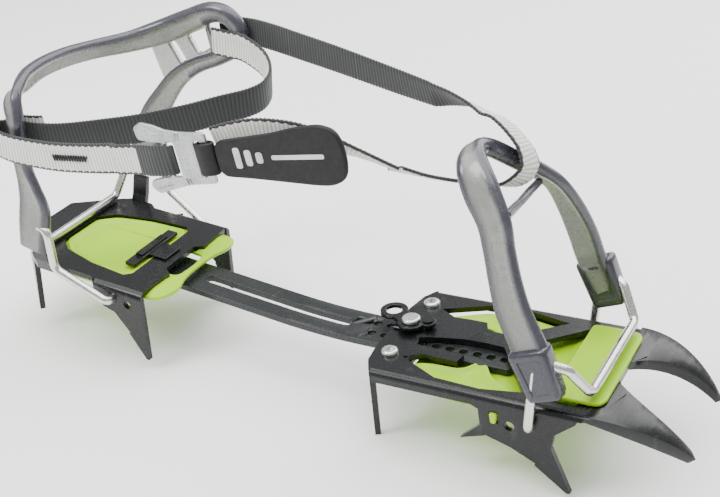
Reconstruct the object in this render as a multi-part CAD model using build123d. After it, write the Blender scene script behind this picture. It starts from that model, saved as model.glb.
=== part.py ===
from build123d import *
import math
import os

# Strap-on steel crampon: a heel frame and a front frame joined by a linking bar, two hinged
# wire bails with moulded baskets, and one long ankle strap with a pull-tab buckle.
# Millimetres. The model is drawn with the heel platform level at z = 0, +X towards the toe
# and +Y towards the inner side. The finished assembly is then pitched nose-down so that its
# points stand on a level floor, with the origin on the top of the heel frame's cross-bar.

# ---- driving dimensions ----------------------------------------------------------------
STAND_PITCH = 2.2          # degrees, whole crampon nose-down on its points
TOE_SPRING = 6.5           # degrees, front frame nose-up against the heel frame
ORIGIN_X = -7.0            # the cross-bar's place before the pitch
BREAK_X = 123.8            # where the front frame's plane crosses the heel platform's height

STEEL = 2.5                # frame sheet
FLAP_TOP = 2.1             # top of the flap over the front frame's nose
BEND_RADIUS = 3.4          # outside radius where a flange is bent down
RUN = 0.06                 # running clearance of the bails in their holes
GAP = 0.4                  # clearance between stacked sheets

HEEL_HALF = 36.0           # heel frame half width
HEEL_REAR = -84.0          # heel frame rear edge
HEEL_FLANGE = 28.0         # length of the heel side flange
HEEL_DEPTH = 34.5          # height of the heel front spikes
HEEL_PIVOT = (-17.5, -6.5) # heel bail hole, x and z

FRONT_REAR = 107.0         # front frame rear edge
FRONT_NOSE = 212.0         # front frame front edge between the points
FRONT_HALF = 35.0          # front frame half width
FRONT_PIVOT = (183.0, -9.0)  # front bail hole, x and z in the front frame's own plane
PIVOT_X = 115.0            # lever pivot and guide screws
PIVOT_Y = 1.5
SCREW_Y = (-19.5, 22.0)
PIN_ARM = (7.2, 19.4)      # lock pin's radius and angle round the pivot
PIN_RADIUS = 1.5
LEVER_HEIGHT = 2.4         # lever's mid-plane above the frame
LEVER_THICK = 1.8
LEVER_SWING = 46.0         # degrees of slot for the pin
SCREW_HOLE = 2.0           # radius
RIVET_HOLE = 2.1           # radius
GUIDE_TOP = -7.2           # top of the plate under the bar
GUIDE_THICK = 2.2
SPINE_Y = 5.5              # middle of the front frame's spine

BAR_WIDTH = 21.0
BAR_THICK = 3.0
BAR_TOP_HEEL = -5.8        # top of the bar at its rear end
BAR_TOP_FRONT = -3.0       # top of the bar under the front frame
BAR_REAR = -34.0
BAR_KNEE = 78.0            # middle of the bar's bow
BAR_BOW_REACH = 22.0       # half the length of the bow
BAR_FRONT = 166.0
HOLE_PITCH = 6.2
HOLE_RADIUS = 1.9
HOLE_ROW = 3.9             # each row's distance from the bar's middle
HOLE_COUNT = 11
HOLE_FIRST = 97.5
SLOT_WIDTH = 5.0           # long slot ahead of the heel
SLOT_ENDS = (12.0, 84.0)

WIRE_R = 2.0
STRAP_THICK = 1.5
STRAP_WIDTH = 12.5         # long strap
HEEL_STRAP_WIDTH = 13.0

os.makedirs("parts", exist_ok=True)


# ---- helpers ---------------------------------------------------------------------------
def tilt_front(shape):
    """Turn a shape drawn in the front frame's own plane up to its toe spring."""
    return shape.rotate(Axis((BREAK_X, 0, 0), (0, 1, 0)), -TOE_SPRING)


def tilt_point(x, y, z):
    """The same turn for one point."""
    angle = math.radians(TOE_SPRING)
    dx = x - BREAK_X
    return (BREAK_X + dx * math.cos(angle) - z * math.sin(angle), y,
            dx * math.sin(angle) + z * math.cos(angle))


def stand(shape):
    """Pitch the assembled crampon onto its points."""
    return shape.rotate(Axis((ORIGIN_X, 0, 0), (0, 1, 0)), STAND_PITCH).moved(Pos(-ORIGIN_X, 0, 0))


def save(name, shape):
    solids = shape if isinstance(shape, list) else shape.solids()
    turned = [stand(solid) for solid in solids]
    out = turned[0] if len(turned) == 1 else Compound(children=turned)
    out.label = name
    export_step(out, "parts/" + name + ".step")


def plate(points, top, thick):
    """Flat sheet from a closed outline, its top face at the given height."""
    face = make_face(Polyline(*points, close=True))
    return extrude(Pos(0, 0, top - thick) * face, amount=thick, dir=(0, 0, 1))


def mirror_outline(points):
    """Close a half outline (y > 0, rear to front) over the centre line."""
    return list(points) + [(x, -y) for x, y in reversed(points) if abs(y) > 1e-6]


def side_plate(points, y_inner, y_outer):
    """Upright sheet from an outline in x and z, between two y values."""
    face = make_face(Polyline(*[(x, 0, z) for x, z in points], close=True))
    low = min(y_inner, y_outer)
    return extrude(Pos(0, low, 0) * face, amount=abs(y_outer - y_inner), dir=(0, 1, 0))


def peg(x, y, low, high, radius):
    return Pos(x, y, (low + high) / 2) * Cylinder(radius, high - low)


def cross_hole(x, z, radius, half=60.0):
    """Cylinder along Y."""
    return Pos(x, 0, z) * Rot(90, 0, 0) * Cylinder(radius, 2 * half)


def block(x0, x1, y0, y1, z0, z1):
    return Pos((x0 + x1) / 2, (y0 + y1) / 2, (z0 + z1) / 2) * Box(x1 - x0, y1 - y0, z1 - z0)


def wire(points, radii):
    """Round wire bent through the points."""
    path = FilletPolyline(*points, radius=radii)
    start = Plane(origin=path @ 0, z_dir=path % 0)
    return sweep(start * Circle(WIRE_R), path=path)


def band(stations):
    """Moulded band or webbing through stations of (centre, width direction, width, thickness)."""
    sections = []
    count = len(stations)
    for i, (centre, across, width, thick) in enumerate(stations):
        before = Vector(*stations[max(i - 1, 0)][0])
        after = Vector(*stations[min(i + 1, count - 1)][0])
        along = (after - before).normalized()
        side = Vector(*across)
        side = (side - along * side.dot(along)).normalized()
        normal = along.cross(side).normalized()
        middle = Vector(*centre)
        corners = [middle + side * (a * width / 2) + normal * (b * thick / 2)
                   for a, b in ((-1, -1), (1, -1), (1, 1), (-1, 1))]
        sections.append(make_face(Polyline(*[tuple(c) for c in corners], close=True)))
    return loft(sections, ruled=True)


# ---- heel section ----------------------------------------------------------------------
def heel_outline():
    return mirror_outline([(HEEL_REAR, 17), (-66, 32), (-60, HEEL_HALF), (-48, HEEL_HALF),
                           (-44, 33), (-31, 33), (-HEEL_FLANGE, HEEL_HALF),
                           (-2, HEEL_HALF), (-1, 14), (-5, 11)])


def heel_opening(shrink=0.0):
    rear, front = -64 + shrink, -16 - shrink
    return mirror_outline([(rear, 12 - shrink), (rear + 8, 19 - shrink), (-38, 23.5 - shrink),
                           (front - 3, 25 - shrink), (front, 22 - shrink)])


def heel_frame():
    body = plate(heel_outline(), 0, STEEL) - plate(heel_opening(), 1, STEEL + 2)
    flange = [(-HEEL_FLANGE, 0), (-1.5, 0), (0.5, -HEEL_DEPTH), (-1.0, -HEEL_DEPTH),
              (-9.6, -22.8), (-9.2, -22), (-17, -13.5), (-23, -12), (-HEEL_FLANGE, -7)]
    for side in (-1, 1):
        y_in, y_out = side * (HEEL_HALF - STEEL), side * HEEL_HALF
        body += side_plate(flange, y_in, y_out)
        post = make_face(Polyline((0, side * 33, -STEEL), (0, side * 36, -STEEL),
                                  (0, side * 38.2, 4), (0, side * 39.6, 13),
                                  (0, side * 37.2, 13), (0, side * 35.4, 4), close=True))
        body += extrude(Pos(-59, 0, 0) * post, amount=8, dir=(1, 0, 0))
        body += heel_rear_spike(side)
    body -= cross_hole(HEEL_PIVOT[0], HEEL_PIVOT[1], WIRE_R + RUN)
    body -= cross_hole(-9.2, -7.4, 1.9)
    body -= block(-64, 4, -32.5, 32.5, -60, -STEEL)
    return body - bend_corners(-HEEL_FLANGE - 0.5, 1, HEEL_HALF)


def bend_corners(x0, x1, half_width):
    """Waste outside the rounded outer corners where the side flanges are bent down."""
    radius = BEND_RADIUS
    waste = block(x0, x1, half_width - radius, half_width + 5, -radius, 5)
    waste -= Pos((x0 + x1) / 2, half_width - radius, -radius) * Rot(0, 90, 0) * Cylinder(
        radius, x1 - x0 + 2)
    return waste + waste.mirror(Plane.XZ)


def heel_rear_spike(side):
    """Spike folded down from the bevelled rear corner."""
    start, end = Vector(-65.5, 32.3 * side, 0), Vector(-80, 20.3 * side, 0)
    along = (end - start).normalized()
    inward = Vector(along.Y * side, -along.X * side, 0) * -1
    points = [start + along * 2, start + along * 13, start + along * 7.5, start + along * 6]
    heights = [0, 0, -HEEL_DEPTH + 1.2, -HEEL_DEPTH + 1.2]
    outline = [Vector(p.X, p.Y, z) for p, z in zip(points, heights)]
    face = make_face(Polyline(*[tuple(p) for p in outline], close=True))
    return extrude(face, amount=STEEL, dir=tuple(inward))


def heel_plate():
    """Snow-shedding plate under the heel frame, with a lip ahead of it."""
    base_top = -STEEL - GAP
    outline = mirror_outline([(-72, 15), (-60, 30), (-30, 32), (2, 32), (7, 28), (9, 20),
                              (5, 13), (4, 8)])
    body = plate(outline, base_top, 2.4)
    body += plate(heel_opening(0.8), -0.9, 2.6)
    body -= block(-26, -17, -7.5, 7.5, -12, 2)
    return body


def linking_bar():
    """Bowed flat bar with a long slot and two rows of adjusting holes."""
    low = BAR_TOP_HEEL - BAR_THICK / 2
    front_line = BAR_TOP_FRONT - BAR_THICK / 2
    spring = math.radians(TOE_SPRING)
    knee_z = front_line / math.cos(spring) + (BAR_KNEE - BREAK_X) * math.tan(spring)
    droop = math.atan2(low - knee_z, BAR_KNEE - BAR_REAR)
    radius = BAR_BOW_REACH / math.tan((spring + droop) / 2)
    end = tilt_point(BAR_FRONT, 0, front_line)
    path = FilletPolyline((BAR_REAR, 0, low), (BAR_KNEE, 0, knee_z), end, radius=radius)
    section = Plane(origin=path @ 0, x_dir=(0, 1, 0), z_dir=path % 0)
    body = sweep(section * Rectangle(BAR_WIDTH, BAR_THICK), path=path)
    body -= block(*SLOT_ENDS, -SLOT_WIDTH / 2, SLOT_WIDTH / 2, -30, 30)
    for slot_end in SLOT_ENDS:
        body -= peg(slot_end, 0, -30, 30, SLOT_WIDTH / 2)
    for row in (-1, 1):
        for i in range(HOLE_COUNT):
            x = HOLE_FIRST + i * HOLE_PITCH - row * 0.5
            body -= tilt_front(peg(x, row * HOLE_ROW, -20, 20, HOLE_RADIUS))
    corner = plate([(BAR_FRONT - 4, 12), (BAR_FRONT + 3, 12), (BAR_FRONT + 3, 5)], 30, 60)
    for side in (-1, 1):
        cut = corner if side > 0 else corner.mirror(Plane.XZ)
        body -= tilt_front(cut)
    return body


def keeper_clip():
    """Clip that hooks the bar to the rear of the heel cross-bar."""
    body = block(-24, -18.5, -6, 6, BAR_TOP_HEEL - 0.1, 1.2)
    body += block(-24, -18.5, -17, 17, -0.5, 1.2)
    body += block(-23, -19.2, -10, 10, 1.2, 2.6)
    body += block(-18.5, -9, -6, 6, 0.3, 1.2)
    return body


# ---- front section (drawn in the front frame's own plane) --------------------------------
def front_outline():
    return mirror_outline([(FRONT_REAR, 16), (108.6, 27), (113, FRONT_HALF), (203, FRONT_HALF),
                           (209, 30), (FRONT_NOSE + 2, 14), (FRONT_NOSE - 3, 6)])


def leaf_opening(side):
    """Side opening between the rear plate, the spine and the side rail."""
    spine = SPINE_Y + 4.5 * side
    return [(121, 20 * side), (129, 15.5 * side), (136, 16 * side), (144, 16 * side),
            (146, spine + 1.5 * side), (150, spine), (158, spine + 0.5 * side),
            (177, 27 * side), (160, 30.5 * side), (140, 29.5 * side)]


def bar_channel():
    """Opening over the bar's outer row of holes."""
    return [(121.5, -4.2), (123, -9.8), (150, -10.6), (151, 1.0), (140, 0.6), (130, -1.6)]


def nose_opening():
    return [(166, SPINE_Y), (183, 22), (189, 28), (199, 28), (199, -28), (189, -28), (184, -23)]


def front_point(side):
    """One forward point: a curved sheet trimmed to its outline from above."""
    upper = ThreePointArc((204, 0, 0), (226, 0, -4.2), (243, 0, -18.5))
    lower = ThreePointArc((204, 0, -STEEL), (223, 0, -8.2), (240.5, 0, -19.5))
    rim = make_face([upper, Line((243, 0, -18.5), (240.5, 0, -19.5)), lower,
                     Line((204, 0, -STEEL), (204, 0, 0))])
    sheet = extrude(Pos(0, -50, 0) * rim, amount=100, dir=(0, 1, 0))
    outer = ThreePointArc((204, 34), (224, 31), (243, 20.6))
    inner = ThreePointArc((241, 19.2), (225, 17), (FRONT_NOSE - 4, 6))
    trim = make_face([outer, Line((243, 20.6), (241, 19.2)), inner,
                      Line((FRONT_NOSE - 4, 6), (204, 6)), Line((204, 6), (204, 34))])
    trim = extrude(Pos(0, 0, -40) * trim, amount=60, dir=(0, 0, 1))
    point = sheet & trim
    return point if side > 0 else point.mirror(Plane.XZ)


def front_rear_spike(side):
    """Spike folded down from the bevelled rear corner of the front frame."""
    start, end = Vector(112.6, 34.3 * side, 0), Vector(108.9, 27.6 * side, 0)
    along = (end - start).normalized()
    inward = Vector(-along.Y * side, along.X * side, 0)
    points = [start, start + along * 7, start + along * 3.5, start + along * 2]
    heights = [0, 0, -34.0, -34.0]
    outline = [Vector(p.X, p.Y, z) for p, z in zip(points, heights)]
    face = make_face(Polyline(*[tuple(p) for p in outline], close=True))
    return extrude(face, amount=STEEL, dir=tuple(inward))


def side_flange(side):
    """Side wall with the rear spur, the side point and its holes."""
    wall = [(114, 0), (203, 0), (201, -4), (192.5, -11), (191, -18), (198.5, -37.5),
            (197, -37.8), (184, -27.6), (184.4, -26.6), (174, -21.5), (164, -18.5),
            (152.5, -22.5), (161.5, -14), (161, -6.5), (158, -5), (114, -5)]
    y_in, y_out = side * (FRONT_HALF - STEEL), side * FRONT_HALF
    return side_plate(wall, y_in, y_out)


def bar_lip(side):
    """Arm and downturned lip that hold the bar sideways."""
    arm = block(118, 142, 11.4, 14.6, -STEEL, 0)
    hook = block(136, 142, 11.4, 13.6, -7.6, -STEEL + 0.1)
    foot = block(138, 142, 11.4, 13.6, -8.6, -7.5)
    lip = arm + hook + foot
    return lip if side > 0 else lip.mirror(Plane.XZ)


def front_frame():
    body = plate(front_outline(), 0, STEEL)
    body -= plate(nose_opening(), 1, STEEL + 2)
    body -= plate(bar_channel(), 1, STEEL + 2)
    for side in (-1, 1):
        body += side_flange(side)
        body += front_rear_spike(side)
        body += front_point(side)
        body -= plate(leaf_opening(side), 1, STEEL + 2)
        body += bar_lip(side)
    for screw_y in SCREW_Y:
        body -= peg(PIVOT_X, screw_y, -10, 5, SCREW_HOLE)
    body -= peg(PIVOT_X, PIVOT_Y, -10, 5, RIVET_HOLE)
    body -= lever_slot()
    body -= cross_hole(FRONT_PIVOT[0], FRONT_PIVOT[1], WIRE_R + RUN)
    body -= cross_hole(174.0, -11.5, 2.2)
    body -= block(165.6, 169.6, -60, 60, -11.5, -6.5)
    return body - bend_corners(112.5, 206, FRONT_HALF)


def at_pivot(shape, height=0.0):
    return Pos(PIVOT_X, PIVOT_Y, height) * shape


def lever_slot():
    """Curved slot in the frame for the lock pin."""
    radius, angle = PIN_ARM
    half_width = PIN_RADIUS + 0.7
    ring = Cylinder(radius + half_width, 8) - Cylinder(radius - half_width, 10)
    reach = 30.0
    wedge = [(0, 0)] + [(reach * math.cos(math.radians(angle + a)),
                         reach * math.sin(math.radians(angle + a)))
                        for a in (0, LEVER_SWING / 2, LEVER_SWING)]
    run = ring & plate(wedge, 4, 8)
    for turn in (angle, angle + LEVER_SWING):
        run += Rot(0, 0, turn) * peg(radius, 0, -4, 4, half_width)
    return at_pivot(run)


def front_plate():
    """Snow-shedding plate: a floor under the bar and a flap over the frame's nose."""
    floor_top = BAR_TOP_FRONT - BAR_THICK - 0.6
    outline = mirror_outline([(123.5, 24), (134, 29), (150, 31.5), (196, 31.5), (200, 26)])
    body = plate(outline, floor_top, 2.2)
    body -= block(130, 148, 10, 16, -12, -5)
    body -= block(130, 148, -16, -10, -12, -5)
    body += block(187.5, 198.4, -26.5, 26.5, floor_top - 1, 0.4)
    flap = mirror_outline([(187.5, 27), (191, 27.5), (206, 27.5), (209.5, 24)])
    body += plate(flap, FLAP_TOP, FLAP_TOP - 0.3)
    for side in (-1, 1):
        body += block(166.0, 169.2, min(31 * side, 36.2 * side), max(31 * side, 36.2 * side),
                      -11.2, floor_top - 0.2)
    return body


def guide_plate():
    body = block(PIVOT_X - 6, PIVOT_X + 6, -25.2, 25.2, GUIDE_TOP - GUIDE_THICK, GUIDE_TOP)
    for screw_y in SCREW_Y:
        body -= peg(PIVOT_X, screw_y, -20, 0, SCREW_HOLE)
    return body


def guide_spacers():
    ring = Cylinder(3.3, -GUIDE_TOP - STEEL) - Cylinder(SCREW_HOLE, 20)
    middle = (GUIDE_TOP - STEEL) / 2
    return [Pos(PIVOT_X, screw_y, middle) * ring for screw_y in SCREW_Y]


def guide_screws():
    screws = []
    for screw_y in SCREW_Y:
        head = Pos(0, 0, 1.0) * Cylinder(3.6, 2.0)
        head = fillet(head.faces().sort_by(Axis.Z)[-1].edges(), 1.2)
        shank = peg(0, 0, -13.0, 0.1, SCREW_HOLE - 0.05)
        socket = Pos(0, 0, 0.9) * extrude(RegularPolygon(1.7, 6), amount=2)
        screws.append(Pos(PIVOT_X, screw_y, 0) * (head + shank - socket))
    return screws


def guide_nuts():
    height = 3.0
    nut = extrude(RegularPolygon(3.9, 6), amount=height) - Cylinder(SCREW_HOLE, 20)
    base = GUIDE_TOP - GUIDE_THICK - height
    return [Pos(PIVOT_X, screw_y, base) * nut for screw_y in SCREW_Y]


def pivot_rivet():
    """Rivet that carries the lock lever, flush under the frame."""
    head = Pos(0, 0, 4.5) * Cylinder(4.0, 1.8)
    head = fillet(head.faces().sort_by(Axis.Z)[-1].edges(), 0.9)
    return at_pivot(head + peg(0, 0, -STEEL, 3.8, RIVET_HOLE - RUN))


def lever_spring():
    """Spring wire round the rivet, with a leg on the frame."""
    coil = Torus(3.3, 0.45) + Pos(-3.5, -3.3, 0) * Rot(0, 90, 0) * Cylinder(0.45, 7.0)
    return at_pivot(coil, 0.75)


def lock_lever():
    """Finger lever with a ring at its free end and the lock pin's arm ahead of the pivot."""
    ring = (-11.5, 6.5)
    radius, pin_angle = PIN_ARM
    body = Pos(ring[0], ring[1], 0) * Cylinder(6.2, LEVER_THICK)
    body += Cylinder(6.0, LEVER_THICK)
    body += Rot(0, 0, pin_angle) * Pos(radius, 0, 0) * Cylinder(3.6, LEVER_THICK)
    body += Rot(0, 0, pin_angle) * Pos(radius / 2, 0, 0) * Box(radius, 6.6, LEVER_THICK)
    angle = math.degrees(math.atan2(ring[1], ring[0]))
    length = math.hypot(*ring)
    body += Rot(0, 0, angle) * Pos(length / 2, 0, 0) * Box(length, 8.0, LEVER_THICK)
    body -= Pos(ring[0], ring[1], 0) * Cylinder(3.6, 10)
    body -= Cylinder(RIVET_HOLE, 10)
    body -= Rot(0, 0, pin_angle) * Pos(radius, 0, 0) * Cylinder(PIN_RADIUS, 10)
    return at_pivot(body, LEVER_HEIGHT)


def lock_pin():
    """Pin riveted in the lever; it stops just above the bar's top face."""
    radius, angle = PIN_ARM
    low = BAR_TOP_FRONT + 0.4
    top = LEVER_HEIGHT + LEVER_THICK / 2
    pin = peg(radius, 0, low, top + 0.5, PIN_RADIUS) + peg(radius, 0, top, top + 0.7, 2.3)
    return at_pivot(Rot(0, 0, angle) * pin)


# ---- bails and baskets -------------------------------------------------------------------
def heel_bail():
    x, z = HEEL_PIVOT
    half = [(x, 32.8, z), (x, 39.2, z), (-42.5, 43.2, 6), (-45, 42.6, 26), (-62, 39, 21.5),
            (-66, 30.5, 2.6)]
    points = half + [(px, -py, pz) for px, py, pz in reversed(half)]
    radii = [3.2, 5, 4, 4, 4]
    return wire(points, radii + radii[::-1])


def toe_bail():
    x, _, z = tilt_point(FRONT_PIVOT[0], 0, FRONT_PIVOT[1])
    half = [(x, 32.2, z), (x, 38.4, z), (x + 0.3, 38.4, 31), (195.5, 33.5, 27.5),
            (203.5, 27.5, 15.8)]
    points = half + [(px, -py, pz) for px, py, pz in reversed(half)]
    radii = [3.2, 4, 5, 4]
    return wire(points, radii + radii[::-1])


def toe_basket():
    """Moulded toe basket: one loop over the instep, with end blocks on the wire."""
    near = [((187.5, -36, 19), (1, 0, 0.7), 15, 7), ((183.5, -36, 28), (1, 0, 0.65), 15.5, 7),
            ((178.3, -35.6, 37.5), (1, 0, 0.55), 15, 6), ((172.3, -34.6, 47.5), (1, 0, 0.48), 14.5, 4.5),
            ((168, -33.3, 58), (1, 0, 0.45), 13.5, 4.5), ((164.2, -31.6, 69), (1, 0, 0.45), 13, 4.5),
            ((160.5, -29.6, 79), (1, 0, 0.55), 14, 4.5), ((153.5, -26.4, 88.5), (1, 0.1, 0.5), 15, 4.5),
            ((146.8, -20, 95.5), (1, 0.3, 0.4), 12.5, 5), ((144.6, -12, 97.3), (0.9, 0.2, 0.7), 9.5, 5),
            ((147, -4, 94.8), (0.8, 0.1, 0.9), 8, 5.5)]
    far = [((154, 5, 87.8), (0.75, -0.1, 0.8), 8.2, 5.5), ((161, 13, 80.8), (0.9, -0.2, 0.7), 9, 5),
           ((167, 19, 73.6), (1, -0.2, 0.6), 10, 5), ((172, 25, 62.2), (1, -0.1, 0.5), 12, 4.5),
           ((176.6, 29.2, 50), (1, 0, 0.45), 13, 4.5), ((180.6, 32, 38), (1, 0, 0.45), 13, 5),
           ((184.4, 34, 29), (1, 0, 0.6), 13.5, 6.5), ((188.5, 34.6, 21.5), (1, 0, 0.7), 12.5, 7)]
    strut = [((163, -28, 79.5), (0.6, 0, 1), 9, 3.2), ((161.5, -8, 76), (0.6, 0, 1), 7.5, 3.2),
             ((160.5, 12, 74), (0.6, 0, 1), 9, 3.2)]
    return band(near + far) + band(strut)


def heel_basket():
    """Moulded heel basket: two arms on the wire joined by a loop behind the ankle."""
    hint = (0.25, 0, 1)
    loop = [((-54.8, -40.8, 15), (1, 0, 0.15), 16, 6.5), ((-53.2, -40.9, 24), (1, 0, 0.1), 16.5, 6.5),
            ((-51.8, -40.8, 34), (1, 0, 0), 16, 5), ((-53, -40.7, 43), (1, 0, 0), 12, 5),
            ((-54.8, -40.6, 52), (1, 0, 0), 9, 5), ((-56.3, -40.4, 64), (1, 0, 0), 8.5, 5),
            ((-56.5, -39.8, 75), (1, 0, 0.1), 8.8, 5), ((-59.3, -37, 82), (0.8, 0.2, 0.7), 9.5, 5),
            ((-62, -31, 84.5), (0.6, 0.1, 0.8), 10.5, 5), ((-64.5, -22, 85.2), hint, 12, 5),
            ((-66, -9, 86.2), hint, 11, 5), ((-65.5, 6, 85.8), hint, 10.5, 5),
            ((-61.5, 22, 85), hint, 10, 5), ((-51, 36, 86.2), hint, 11, 5),
            ((-38, 43, 91), hint, 12, 5), ((-24, 45.5, 98.2), (0.1, 0, 1), 10.5, 5),
            ((-12, 46.3, 104.2), (0, 0, 1), 9.5, 5), ((-3, 46.3, 104), (-0.6, 0, 0.8), 8.5, 5),
            ((3.2, 46.3, 97.5), (1, 0, 0.1), 8.5, 5), ((0.5, 46.3, 89.5), (0.7, 0, -0.8), 8, 5),
            ((-9, 46.3, 83), (0.3, 0, -1), 8, 5), ((-22, 46.3, 76.5), (0.4, 0, -1), 8.5, 5),
            ((-33, 46.2, 68), (0.8, 0, -0.8), 10, 5), ((-42, 45.6, 56), (1, 0, -0.5), 12, 5),
            ((-48, 44.2, 45), (1, 0, -0.35), 15, 5), ((-51, 42.5, 34), (1, 0, -0.1), 16, 5),
            ((-53, 41.2, 25), (1, 0, 0), 16, 6.5), ((-54, 40.8, 15), (1, 0, 0.1), 15, 6.5)]
    bracket = [(-47, 88), (-38, 66), (-24, 76), (-11.5, 82.5), (-16, 99.5), (-28, 95.5)]
    panel = side_plate(bracket, 44.8, 47.8)
    slot = [(-35, 88.5), (-31, 90), (-25.5, 79.5), (-29.5, 77.5)]
    panel -= side_plate(slot, 40, 52)
    return band(loop) + panel


# ---- straps, buckle and pull tab -----------------------------------------------------------
def webbing(centres, width):
    """Flat strap through the centres, with its width as near to upright as it can stand."""
    return band([(c, (0, 0, 1), width, STRAP_THICK) for c in centres])


def twisted(stations):
    """Long strap through (centre, twist), the twist being the lean of its width towards -Y."""
    return band([(c, (0, -lean, 1), STRAP_WIDTH, STRAP_THICK) for c, lean in stations])


def heel_strap():
    """Strap from the far bracket round the front of the ankle, round the near arm, to the buckle."""
    return webbing([(-9, 42.6, 92), (8, 41.5, 92), (22, 36, 89.5), (30.5, 28, 86), (33.5, 18, 84),
                    (31, 9, 83), (24, 0, 82), (13, -9, 79), (-3, -18.5, 75), (-20, -26, 71.5),
                    (-37, -31.5, 68), (-50, -34.5, 66.5), (-60, -35.6, 66), (-65.5, -37.6, 65.7),
                    (-67.4, -40.8, 65.4), (-65.5, -44.2, 65.2), (-60, -46.2, 65), (-50, -46.8, 65),
                    (-30, -47, 67), (-10, -47, 71), (4, -47, 74.5)], width=HEEL_STRAP_WIDTH)


def strap_tail():
    """Short sewn tab on the inner side of the near arm."""
    return webbing([(-68, -33.2, 68.5), (-58, -32.6, 69), (-49, -31.0, 70)], width=10.0)


def stitching():
    """Bar-tack on the heel strap."""
    return webbing([(-30, -48.6, 67), (-12, -48.6, 70.6)], width=2.2)


def buckle_strap():
    """Doubled end of the strap inside the buckle."""
    return webbing([(5.5, -47, 75), (18, -47, 78.5), (34, -47, 82.5)], width=HEEL_STRAP_WIDTH)


def upper_run():
    """Long strap from the heel basket's bracket to the toe basket."""
    return twisted([((-8, 50.6, 95.5), 0), ((6, 50, 97), 0), ((21, 45.5, 98.5), 0),
                    ((39, 39.5, 99.5), 0.05), ((63, 32, 100.5), 0.12), ((93, 23, 101), 0.25),
                    ((112, 17, 101.6), 0.4)])


def toe_loop():
    """The long strap twisting flat, passing over and under the toe basket's top bar and back."""
    along_bar = (-0.3, -1, 0.5)
    route = [((113.5, 16.5, 101.6), (0, -0.4, 1)), ((122, 15, 102.6), (0, -0.8, 0.9)),
             ((131, 13.5, 102.4), (0, -1, 0.6)), ((139, 11, 101), (0, -1, 0.4)),
             ((145.5, 8.5, 101), along_bar), ((153, 5.5, 98), along_bar),
             ((160, 3.5, 93), along_bar), ((162, 2, 86.5), along_bar),
             ((157, 0, 80), along_bar), ((148.5, -2.5, 78), (0, -1, 0.4)),
             ((141, -8, 80.3), (0, -1, 0.5)), ((133, -14.5, 82.8), (0, -1, 0.55)),
             ((126, -21, 86), (0, -1, 0.6)), ((119.5, -27.5, 89.8), (0, -1, 0.7))]
    return band([(centre, across, STRAP_WIDTH, STRAP_THICK) for centre, across in route])


def lower_run():
    """Long strap back from the toe basket, behind the pull tab, to the buckle."""
    return twisted([((118, -28.8, 91), 1.4), ((107, -34, 96), 1.1), ((97, -37, 98.5), 0.6),
                    ((84, -40, 100), 0.2), ((70, -41.8, 98.5), 0), ((60, -42.6, 95.5), 0),
                    ((50, -43.2, 91), 0)])


def buckle_frame():
    """Local buckle plane: x along the strap, y up across it, z outwards."""
    return Plane(origin=(34.5, -48.6, 82.5), x_dir=(0.966, 0, 0.259), z_dir=(0, -1, 0))


def buckle_plate():
    """Stamped buckle with two wings behind the strap."""
    outline = [(18, 10.5), (18, -10.5), (5, -11), (-6, -13.5), (-13, -14.5), (-15, -9),
               (-6, -6.8), (-4, -6.8), (-4, 6.8), (-6, 6.8), (-16, 9), (-15.5, 15),
               (-11, 16), (-2, 12), (6, 11)]
    body = extrude(buckle_frame() * make_face(Polyline(*outline, close=True)), amount=1.5)
    hole = buckle_frame() * Pos(13.2, 0, 0) * Rectangle(3.4, 15)
    body -= extrude(hole, amount=5, both=True)
    slot = buckle_frame() * Pos(0, 0, 0) * Rectangle(4.5, 14)
    body -= extrude(slot, amount=5, both=True)
    return body


def tab_loop():
    """Rubber loop of the pull tab through the buckle's end slot."""
    frame = buckle_frame() * Pos(0, 0, 0.75)
    outer = Pos(16.2, 0, 0) * Rot(90, 0, 0) * Box(8.6, 4.6, 13.6)
    inner = Pos(16.2, 0, 0) * Rot(90, 0, 0) * Box(5.6, 2.0, 20)
    return frame * (outer - inner)


def pull_tab():
    """Flat moulded tab that widens to a rounded end."""
    frame = buckle_frame() * Pos(0, 0, 0.75)
    outline = [(22.0, 7.5), (22.0, -7.5), (50, -10), (72, -12), (77.5, -9), (78.5, 4),
               (75, 11), (68, 12), (48, 9.5)]
    face = make_face(Polyline(*outline, close=True))
    return frame * Pos(0, 0, -1.3) * extrude(face, amount=2.6)


# ---- write the nodes -------------------------------------------------------------------------
save("heel_frame", heel_frame())
save("heel_antiball_plate", heel_plate())
save("linking_bar", linking_bar())
save("bar_keeper_clip", keeper_clip())
save("front_frame", tilt_front(front_frame()))
save("front_antiball_plate", tilt_front(front_plate()))
save("bar_guide_plate", tilt_front(guide_plate()))
save("guide_spacers", [tilt_front(piece).solid() for piece in guide_spacers()])
save("guide_screws", [tilt_front(piece).solid() for piece in guide_screws()])
save("guide_nuts", [tilt_front(piece).solid() for piece in guide_nuts()])
save("lever_pivot_rivet", tilt_front(pivot_rivet()))
save("lever_spring", tilt_front(lever_spring()))
save("lock_lever", tilt_front(lock_lever()))
save("lock_pin", tilt_front(lock_pin()))
save("heel_wire_bail", heel_bail())
save("toe_wire_bail", toe_bail())
save("toe_basket", toe_basket())
save("heel_basket", heel_basket())
save("heel_strap", heel_strap())
save("strap_tail", strap_tail())
save("strap_stitching", stitching())
save("buckle_strap", buckle_strap())
save("strap_upper_run", upper_run())
save("strap_toe_loop", toe_loop())
save("strap_lower_run", lower_run())
save("buckle_plate", buckle_plate())
save("tab_loop", tab_loop())
save("pull_tab", pull_tab())
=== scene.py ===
"""Looks for the strap-on crampon: materials, webbing, moulded baskets and stamped parts."""
import math

import bmesh
import bpy
from mathutils import Matrix, Vector


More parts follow.
